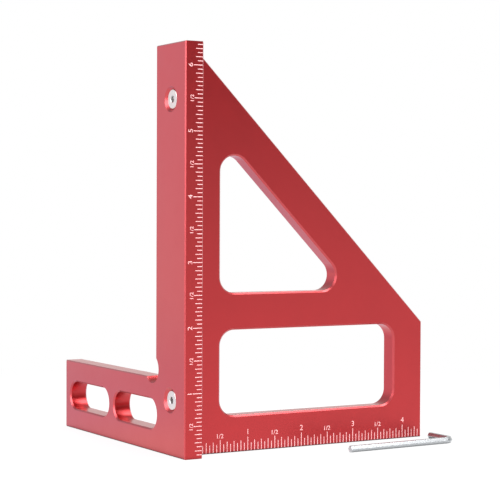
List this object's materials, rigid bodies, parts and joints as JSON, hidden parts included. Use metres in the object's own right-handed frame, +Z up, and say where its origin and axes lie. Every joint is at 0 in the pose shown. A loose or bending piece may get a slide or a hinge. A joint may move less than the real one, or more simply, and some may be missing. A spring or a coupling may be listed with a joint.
{
  "type": "folding ruler",
  "caption": "Red anodised triangular marking square: a thick plate with two openings and inch scales, screwed to a slotted L-shaped fence, with its hex key.",
  "frame": {"origin": "On the bottom of the part at the fence's inner face, on the plate's middle plane.", "axes": "+X runs along the plate away from the fence, +Y runs back along the fence's foot, +Z is up along the fence's leg."},
  "size_m": [0.1214, 0.1276, 0.1616],
  "materials": {
    "plate_anodised_red": "bead-blasted and anodised red, satin",
    "fence_anodised_red": "bead-blasted and anodised red, satin",
    "screw_steel": "machined steel, nickel plated",
    "key_chrome": "drawn hexagon bar, nickel-chrome plated",
    "scale_marking": "engraved and filled with pale enamel"
  },
  "bodies": {
    "plate": {"triangle_plate": "plate_anodised_red"},
    "fence": {"fence": "fence_anodised_red"},
    "upper_screw": {"upper_screw": "screw_steel"},
    "lower_screw": {"lower_screw": "screw_steel"},
    "hex_key": {"hex_key": "key_chrome"}
  },
  "joints": [
    {"name": "fence_pull_off", "type": "slide", "parent": "plate", "child": "fence", "axis": [-1, 0, 0], "range_m": [0, 0.03]},
    {"name": "upper_screw_travel", "type": "slide", "parent": "fence", "child": "upper_screw", "axis": [-1, 0, 0], "range_m": [0, 0.02]},
    {"name": "lower_screw_travel", "type": "slide", "parent": "fence", "child": "lower_screw", "axis": [-1, 0, 0], "range_m": [0, 0.02]},
    {"name": "hex_key_lift", "type": "slide", "parent": "plate", "child": "hex_key", "axis": [0, 0, 1], "range_m": [0, 0.04]}
  ]
}
